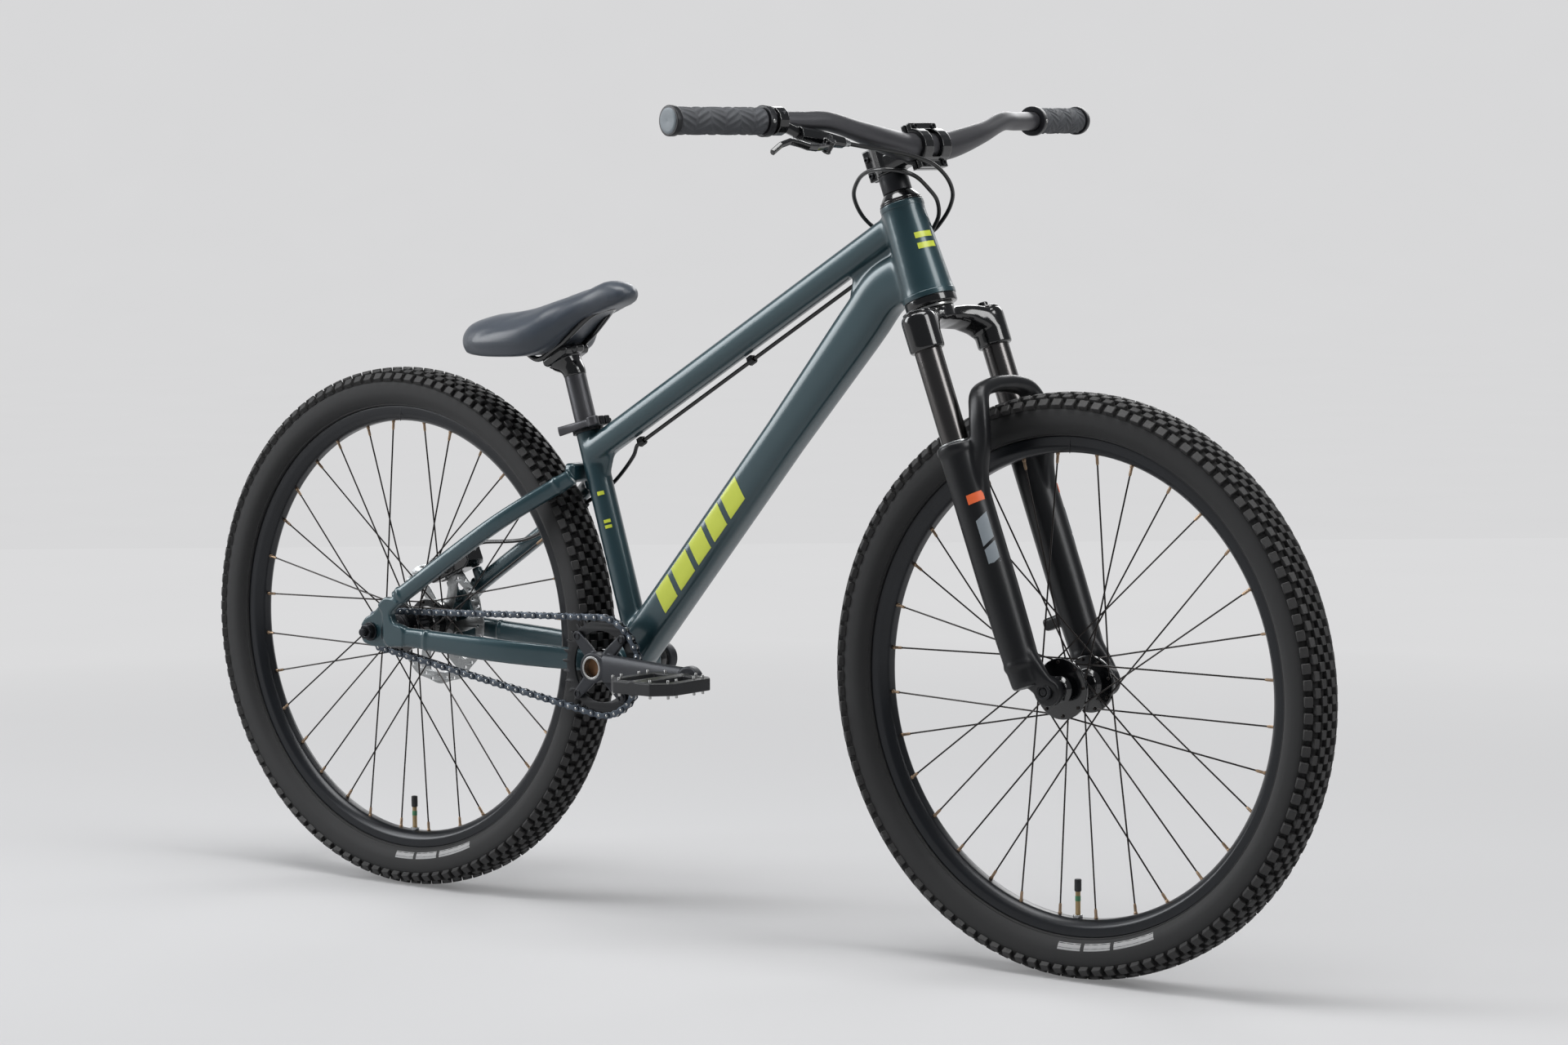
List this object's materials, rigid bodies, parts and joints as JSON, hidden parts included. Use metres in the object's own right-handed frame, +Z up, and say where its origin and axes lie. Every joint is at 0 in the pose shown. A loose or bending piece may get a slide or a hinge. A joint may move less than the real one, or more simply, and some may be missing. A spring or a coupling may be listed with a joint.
{
  "type": "dirt jump bicycle",
  "caption": "Single-speed dirt jump bicycle with a suspension fork, rear disc brake, riser handlebar, platform pedals and a padded saddle on a low frame.",
  "frame": {"origin": "on the ground, midway between the two wheel axles", "axes": "+X forward along the wheelbase, +Y to the rider's left, +Z up"},
  "size_m": [1.718, 0.784, 0.9948],
  "materials": {
    "frame_paint": "gloss",
    "black_gloss": "gloss",
    "black_satin": "satin",
    "tyre": "matt",
    "grip_rubber": "matt",
    "black_plastic": "matt",
    "bright_steel": "satin",
    "chain_steel": "satin",
    "saddle_cover": "satin"
  },
  "bodies": {
    "root": {"front_triangle": "frame_paint", "rear_triangle": "frame_paint", "headset_upper_cup": "black_gloss", "headset_lower_cup": "black_gloss", "seat_collar": "black_satin", "bb_cup_right": "black_gloss", "bb_cup_left": "black_gloss", "rear_axle": "bright_steel", "chain_tensioner_right": "bright_steel", "chain_tensioner_left": "bright_steel", "brake_caliper": "black_gloss", "brake_hose_rear": "black_plastic", "hose_clip_front": "black_plastic", "hose_clip_middle": "black_plastic", "hose_clip_rear": "black_plastic", "hose_clip_stay": "black_plastic", "chain": "chain_steel"},
    "rear_wheel": {"rear_tyre": "tyre", "rear_inner_tube": "grip_rubber", "rear_rim": "black_satin", "rear_hub": "black_gloss", "brake_rotor": "bright_steel"},
    "cog_body": {"cog": "bright_steel"},
    "steering": {"crown_steerer": "black_gloss", "crown_race": "bright_steel", "headset_cover": "black_gloss", "stem_spacer": "black_satin", "stem": "black_gloss", "stem_faceplate": "black_gloss", "top_cap": "black_gloss", "handlebar": "black_satin", "grip_right": "grip_rubber", "grip_left": "grip_rubber", "stanchion_right": "bright_steel", "stanchion_left": "bright_steel", "fork_adjuster": "black_gloss", "brake_lever_body": "black_gloss", "brake_hose_front": "black_plastic"},
    "lowers": {"fork_lowers": "black_satin", "front_axle": "black_satin"},
    "front_wheel": {"front_tyre": "tyre", "front_inner_tube": "grip_rubber", "front_rim": "black_satin", "front_hub": "black_gloss"},
    "brake_lever": {"brake_lever_blade": "black_gloss"},
    "cranks": {"crank_right": "black_satin", "crank_left": "black_satin", "crank_spindle": "bright_steel", "chainring": "black_gloss", "pedal_axle_right": "bright_steel", "pedal_axle_left": "bright_steel"},
    "pedal_right_body": {"pedal_right": "black_plastic"},
    "pedal_left_body": {"pedal_left": "black_plastic"},
    "seat": {"seatpost": "black_satin", "saddle_clamp": "black_gloss", "saddle_rails": "black_gloss", "saddle_shell": "black_plastic", "saddle_cushion": "saddle_cover"},
    "seat_lever": {"seat_clamp_lever": "black_satin"}
  },
  "joints": [
    {"name": "steering_turn", "type": "hinge", "parent": "root", "child": "steering", "pos_m": [0.29551, 0, 0.82609], "axis": [-0.3502, 0, 0.9367], "range_deg": [-90, 90], "deforming": ["brake_hose_front"]},
    {"name": "fork_travel", "type": "slide", "parent": "steering", "child": "lowers", "axis": [-0.3502, 0, 0.9367], "range_m": [0, 0.1], "stiffness_N_per_m": 8000, "springref_m": -0.01},
    {"name": "front_wheel_spin", "type": "hinge", "parent": "lowers", "child": "front_wheel", "pos_m": [0.524, 0, 0.335], "axis": [0, 1, 0], "continuous": true},
    {"name": "rear_wheel_spin", "type": "hinge", "parent": "root", "child": "rear_wheel", "pos_m": [-0.524, 0, 0.335], "axis": [0, 1, 0], "continuous": true},
    {"name": "crank_spin", "type": "hinge", "parent": "root", "child": "cranks", "pos_m": [-0.15159, 0, 0.314], "axis": [0, 1, 0], "continuous": true, "deforming": ["chain"]},
    {"name": "cog_spin", "type": "hinge", "parent": "root", "child": "cog_body", "pos_m": [-0.524, 0, 0.335], "axis": [0, 1, 0], "continuous": true},
    {"name": "pedal_right_spin", "type": "hinge", "parent": "cranks", "child": "pedal_right_body", "pos_m": [0.01841, 0, 0.314], "axis": [0, 1, 0], "continuous": true},
    {"name": "pedal_left_spin", "type": "hinge", "parent": "cranks", "child": "pedal_left_body", "pos_m": [-0.32159, 0, 0.314], "axis": [0, 1, 0], "continuous": true},
    {"name": "brake_pull", "type": "hinge", "parent": "steering", "child": "brake_lever", "pos_m": [0.32278, -0.195, 0.94818], "axis": [-0.5804, 0, -0.8143], "range_deg": [0, 18], "stiffness_Nm_per_rad": 1.5, "springref_deg": -5.73},
    {"name": "seatpost_height", "type": "slide", "parent": "root", "child": "seat", "axis": [-0.2924, 0, 0.9563], "range_m": [-0.025, 0.08]},
    {"name": "seat_lever_swing", "type": "hinge", "parent": "root", "child": "seat_lever", "pos_m": [-0.19194, -0.0175, 0.61246], "axis": [-0.2924, 0, 0.9563], "range_deg": [0, 120]}
  ],
  "couplings": [
    {"joint": "cog_spin", "follows": "crank_spin", "ratio": 2.5}
  ]
}
